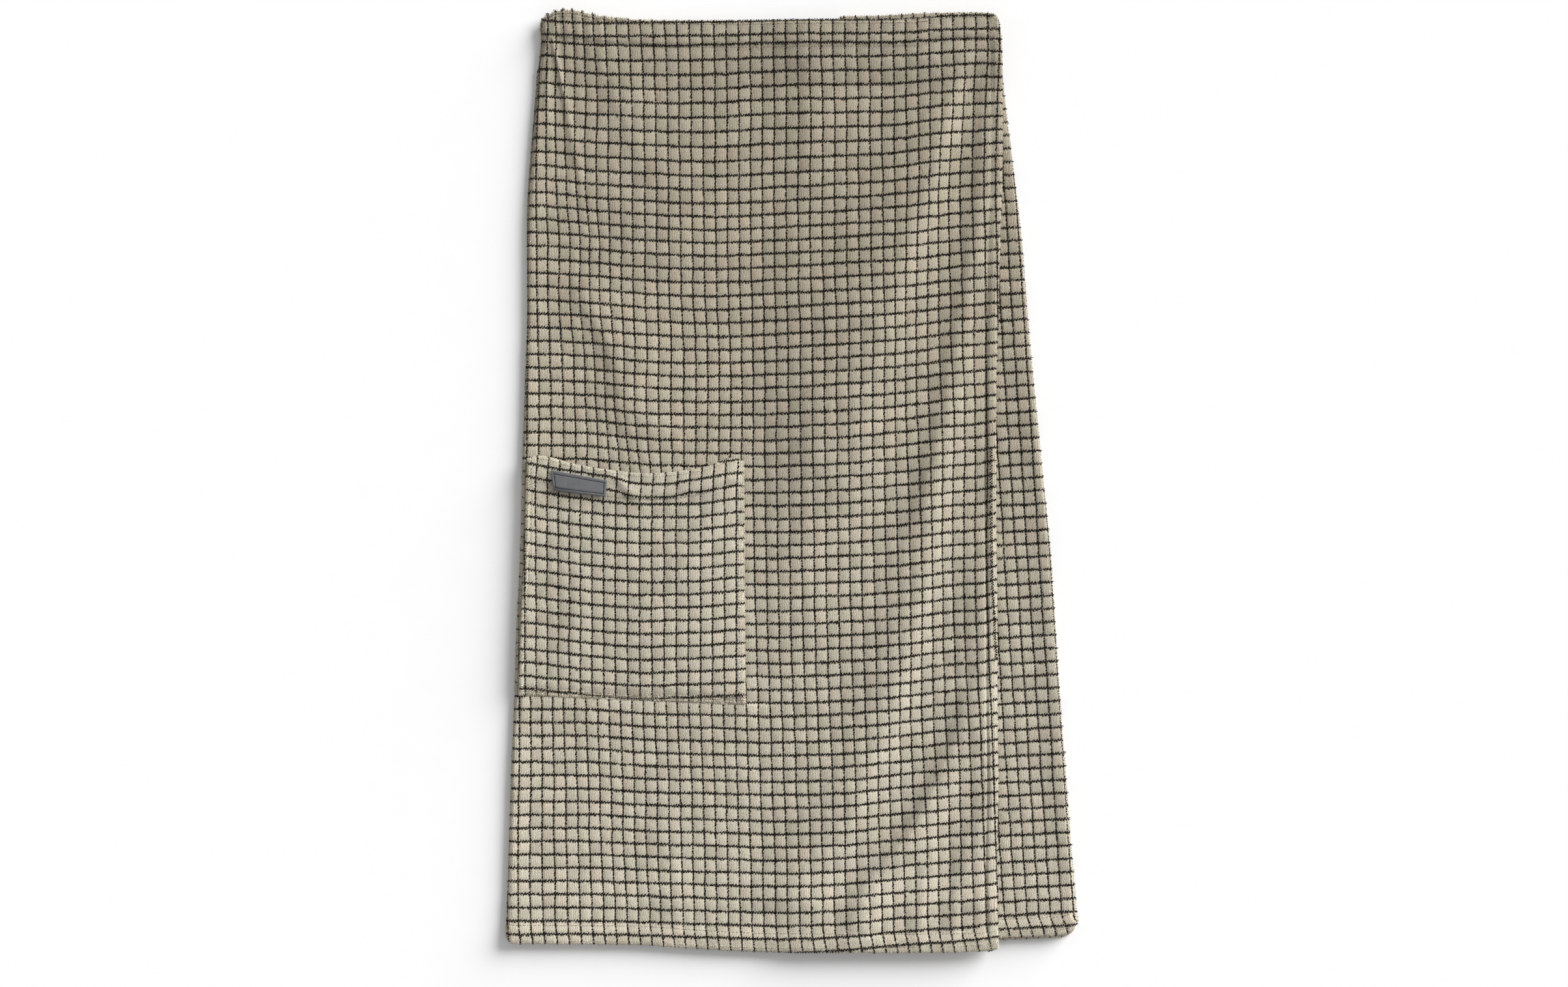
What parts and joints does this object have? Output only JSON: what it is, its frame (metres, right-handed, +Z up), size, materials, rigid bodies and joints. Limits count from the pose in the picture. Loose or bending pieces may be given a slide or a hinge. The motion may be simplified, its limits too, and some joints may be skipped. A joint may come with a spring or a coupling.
{
  "type": "sarong",
  "caption": "Checked terry-cloth wrap sarong laid flat, with a waist tunnel, a hemmed outer flap over an under lap, and a patch pocket with a bare label.",
  "frame": {"origin": "centre of the flat underside's outline, on the surface it lies on", "axes": "+X across the cloth to the right as seen from above, +Y towards the waist edge, +Z up"},
  "size_m": [0.5244, 0.8591, 0.0187],
  "materials": {
    "terry": "cut and looped terry, greyish beige with a black check",
    "label": "matt, grey"
  },
  "bodies": {
    "root": {"front_panel": "terry", "back_panel": "terry", "under_lap": "terry", "pocket": "terry", "label": "label"}
  },
  "joints": []
}
